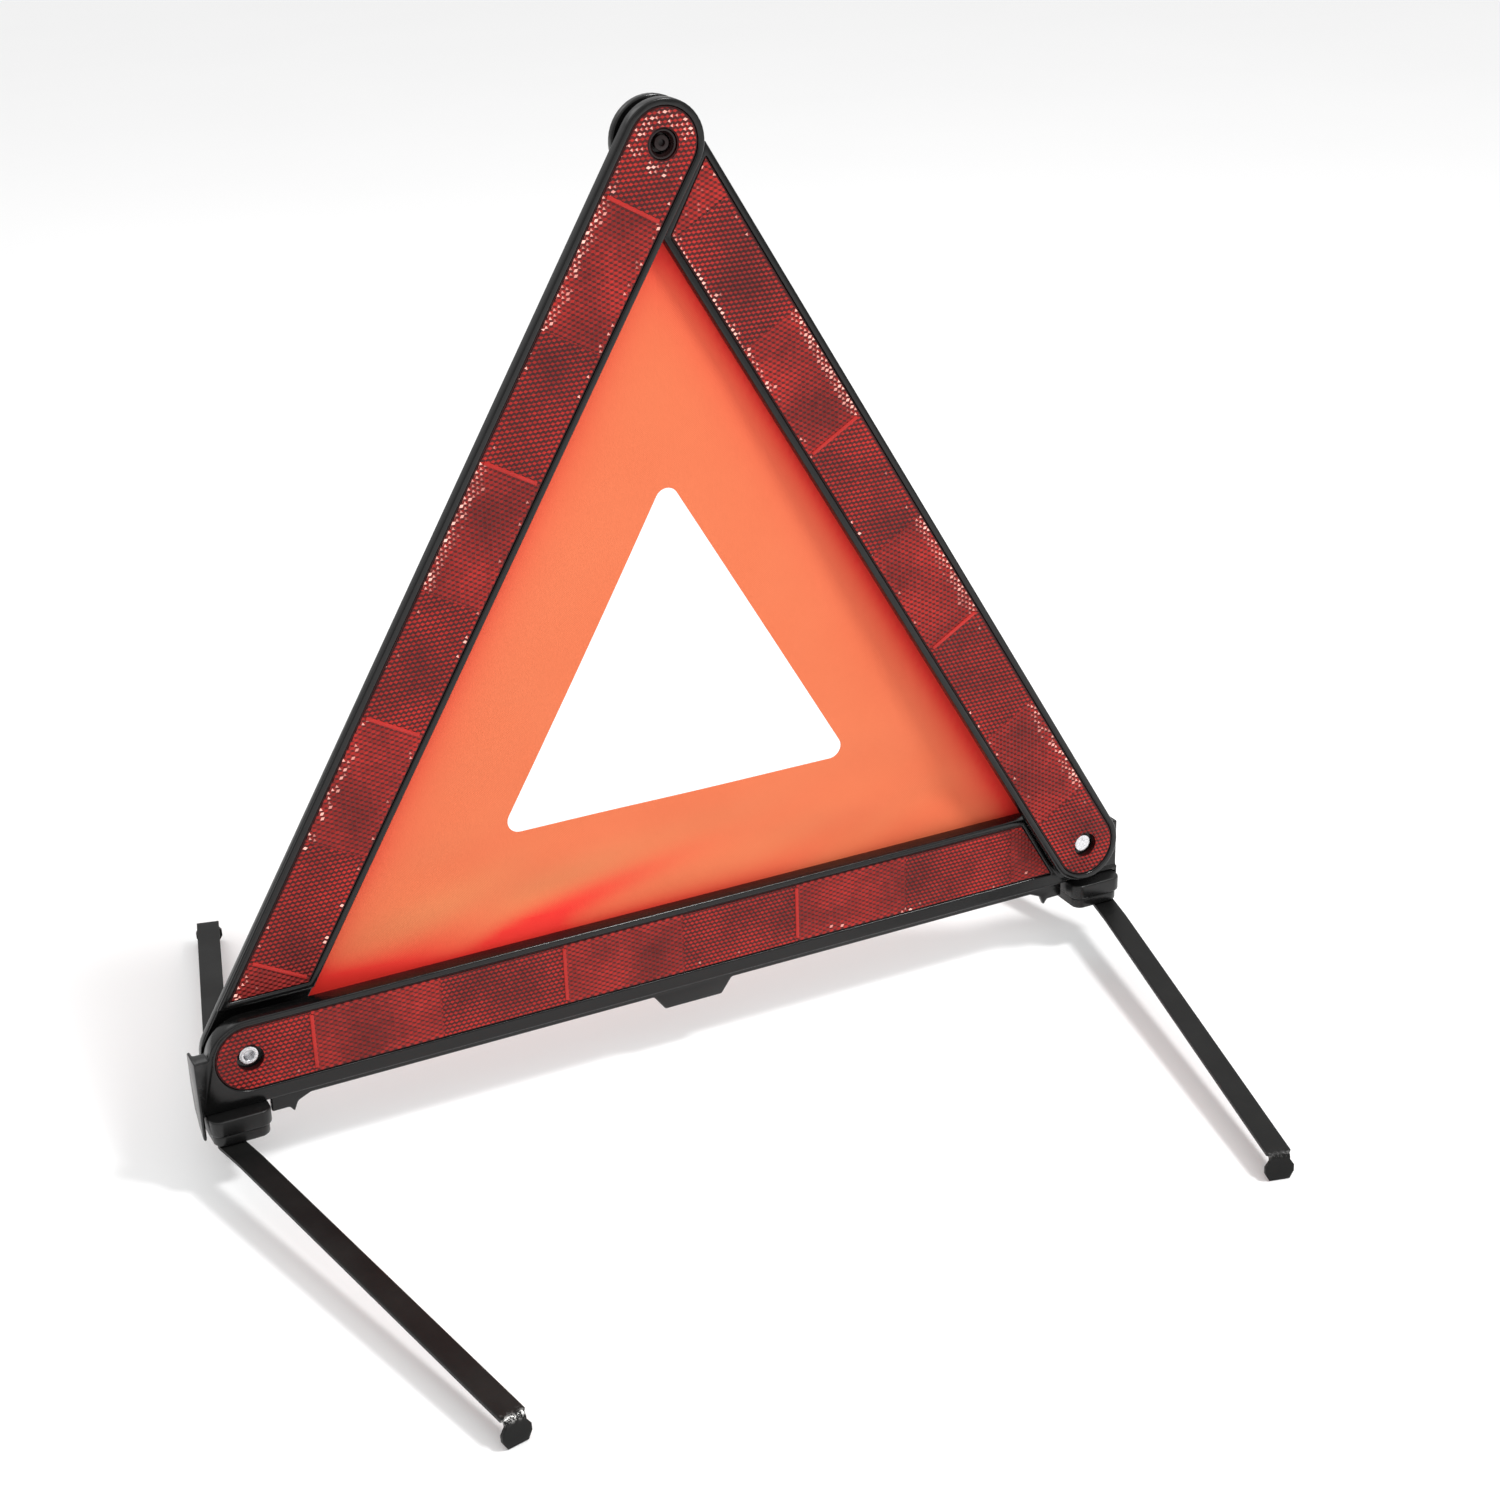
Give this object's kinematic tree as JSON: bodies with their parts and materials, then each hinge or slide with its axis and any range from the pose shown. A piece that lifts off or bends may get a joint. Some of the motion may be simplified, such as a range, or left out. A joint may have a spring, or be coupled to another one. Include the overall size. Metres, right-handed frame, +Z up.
{
  "type": "warning triangle",
  "caption": "Folding roadside warning triangle: red reflector arms in black trays around a fluorescent cloth with a triangular window, on swing-out steel strip legs.",
  "frame": {"origin": "on the ground, under the middle of the base arm", "axes": "+Z up, +X along the base arm to the right as seen from the front, -Y out of the reflecting front"},
  "size_m": [0.469, 0.4516, 0.4421],
  "materials": {
    "black_plastic": "black moulded plastic, satin",
    "red_lens": "red prismatic reflector, glossy",
    "fluorescent_cloth": "fluorescent orange-red coated cloth",
    "bright_rivet": "bright rivet steel",
    "leg_steel": "black painted strip steel"
  },
  "bodies": {
    "root": {"base_tray": "black_plastic", "base_lens": "red_lens", "fabric_panel": "fluorescent_cloth", "fabric_pegs": "black_plastic", "left_rivet": "bright_rivet", "right_rivet": "bright_rivet", "left_rivet_washer": "bright_rivet", "right_rivet_washer": "bright_rivet", "left_leg_bracket": "black_plastic", "right_leg_bracket": "black_plastic", "left_bracket_cover": "black_plastic", "right_bracket_cover": "black_plastic", "front_left_leg_pin": "bright_rivet", "front_right_leg_pin": "bright_rivet", "rear_left_leg_pin": "bright_rivet", "rear_right_leg_pin": "bright_rivet"},
    "left_arm": {"left_arm_tray": "black_plastic", "left_arm_lens": "red_lens", "apex_socket": "black_plastic"},
    "right_arm": {"right_arm_tray": "black_plastic", "right_arm_lens": "red_lens", "apex_stud": "black_plastic"},
    "front_left_leg": {"front_left_leg": "leg_steel"},
    "front_right_leg": {"front_right_leg": "leg_steel"},
    "rear_left_leg": {"rear_left_leg": "leg_steel"},
    "rear_right_leg": {"rear_right_leg": "leg_steel"}
  },
  "joints": [
    {"name": "left_arm_fold", "type": "hinge", "parent": "root", "child": "left_arm", "pos_m": [-0.21, 0.0088, 0.06], "axis": [0, 0.9994, 0.0359], "range_deg": [0, 60], "deforming": ["left_arm_tray", "left_arm_lens", "apex_socket", "fabric_panel"]},
    {"name": "right_arm_fold", "type": "hinge", "parent": "root", "child": "right_arm", "pos_m": [0.21, -0.0088, 0.06], "axis": [0, -0.9994, 0.0359], "range_deg": [0, 60]},
    {"name": "front_left_leg_turn", "type": "hinge", "parent": "root", "child": "front_left_leg", "pos_m": [-0.224, -0.007, 0.0235], "axis": [0, 0, 1], "range_deg": [-11.5, 78.5]},
    {"name": "front_right_leg_turn", "type": "hinge", "parent": "root", "child": "front_right_leg", "pos_m": [0.224, -0.007, 0.0235], "axis": [0, 0, -1], "range_deg": [-14, 76]},
    {"name": "rear_left_leg_turn", "type": "hinge", "parent": "root", "child": "rear_left_leg", "pos_m": [-0.224, 0.007, 0.0235], "axis": [0, 0, -1], "range_deg": [-14, 76]},
    {"name": "rear_right_leg_turn", "type": "hinge", "parent": "root", "child": "rear_right_leg", "pos_m": [0.224, 0.007, 0.0235], "axis": [0, 0, 1], "range_deg": [-11.5, 78.5]}
  ]
}
